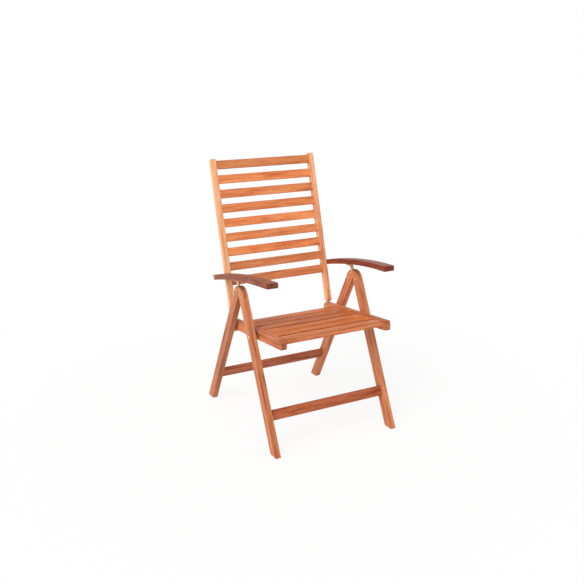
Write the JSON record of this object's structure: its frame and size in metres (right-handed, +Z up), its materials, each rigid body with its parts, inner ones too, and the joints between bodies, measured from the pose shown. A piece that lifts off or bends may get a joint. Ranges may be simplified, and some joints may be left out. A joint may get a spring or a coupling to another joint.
{
  "type": "folding high-back garden armchair",
  "caption": "Hardwood garden armchair with a high slatted back, curved armrests and A-shaped legs; the legs, seat and back fold flat, the back reclines and the armrests lift.",
  "frame": {"origin": "on the floor under the middle of the open chair", "axes": "+Z up, the chair faces -Y, +X is the sitter's left"},
  "size_m": [0.6028, 0.6915, 1.083],
  "materials": {
    "frame_wood": "oiled, satin",
    "armrest_wood": "oiled, satin, darker",
    "fittings": "yellow passivated zinc"
  },
  "bodies": {
    "front_frame": {"front_leg_left": "frame_wood", "front_leg_right": "frame_wood", "front_stretcher": "frame_wood", "front_stretcher_pins": "fittings", "seat_pivot_bolts": "fittings", "seat_pivot_spacers": "fittings", "seat_pivot_nuts": "fittings", "apex_pivot_rivets": "fittings"},
    "rear_frame": {"rear_leg_left": "frame_wood", "rear_leg_right": "frame_wood", "rear_stretcher": "frame_wood", "rear_stretcher_pins": "fittings", "apex_plate_left": "fittings", "apex_plate_right": "fittings", "apex_plate_rivets": "fittings", "seat_support_pins": "fittings"},
    "seat": {"seat_rail_left": "frame_wood", "seat_rail_right": "frame_wood", "seat_front_slat": "frame_wood", "seat_slat_1": "frame_wood", "seat_slat_2": "frame_wood", "seat_slat_3": "frame_wood", "seat_slat_4": "frame_wood", "seat_slat_5": "frame_wood", "seat_slat_bolts": "fittings", "lower_hinge_rivets": "fittings"},
    "back_links": {"hinge_link_left": "fittings", "hinge_link_right": "fittings"},
    "backrest": {"back_stile_left": "frame_wood", "back_stile_right": "frame_wood", "back_slat_1": "frame_wood", "back_slat_2": "frame_wood", "back_slat_3": "frame_wood", "back_slat_4": "frame_wood", "back_slat_5": "frame_wood", "back_slat_6": "frame_wood", "back_slat_7": "frame_wood", "back_slat_8": "frame_wood", "back_slat_9": "frame_wood", "upper_hinge_rivets": "fittings", "armrest_bolts": "fittings", "armrest_washers": "fittings", "armrest_nuts": "fittings"},
    "left_arm": {"armrest_left": "armrest_wood", "rack_plate_left": "fittings", "rack_screws_left": "fittings"},
    "right_arm": {"armrest_right": "armrest_wood", "rack_plate_right": "fittings", "rack_screws_right": "fittings"}
  },
  "joints": [
    {"name": "rear_leg_fold", "type": "hinge", "parent": "front_frame", "child": "rear_frame", "pos_m": [0, -0.0409, 0.578], "axis": [-1, 0, 0], "range_deg": [0, 50]},
    {"name": "seat_fold", "type": "hinge", "parent": "front_frame", "child": "seat", "pos_m": [0, -0.11187, 0.42645], "axis": [1, 0, 0], "range_deg": [0, 66.5]},
    {"name": "back_link_fold", "type": "hinge", "parent": "seat", "child": "back_links", "pos_m": [0, 0.1481, 0.40815], "axis": [-1, 0, 0], "range_deg": [0, 75.5]},
    {"name": "back_recline", "type": "hinge", "parent": "back_links", "child": "backrest", "pos_m": [0, 0.15475, 0.46355], "axis": [-1, 0, 0], "range_deg": [0, 26]},
    {"name": "left_arm_lift", "type": "hinge", "parent": "backrest", "child": "left_arm", "pos_m": [0, 0.19509, 0.60335], "axis": [-1, 0, 0], "range_deg": [0, 70]},
    {"name": "right_arm_lift", "type": "hinge", "parent": "backrest", "child": "right_arm", "pos_m": [0, 0.19509, 0.60335], "axis": [-1, 0, 0], "range_deg": [0, 70]}
  ],
  "couplings": [
    {"joint": "seat_fold", "follows": "rear_leg_fold", "ratio": 1.32},
    {"joint": "back_link_fold", "follows": "rear_leg_fold", "ratio": 1.5}
  ]
}
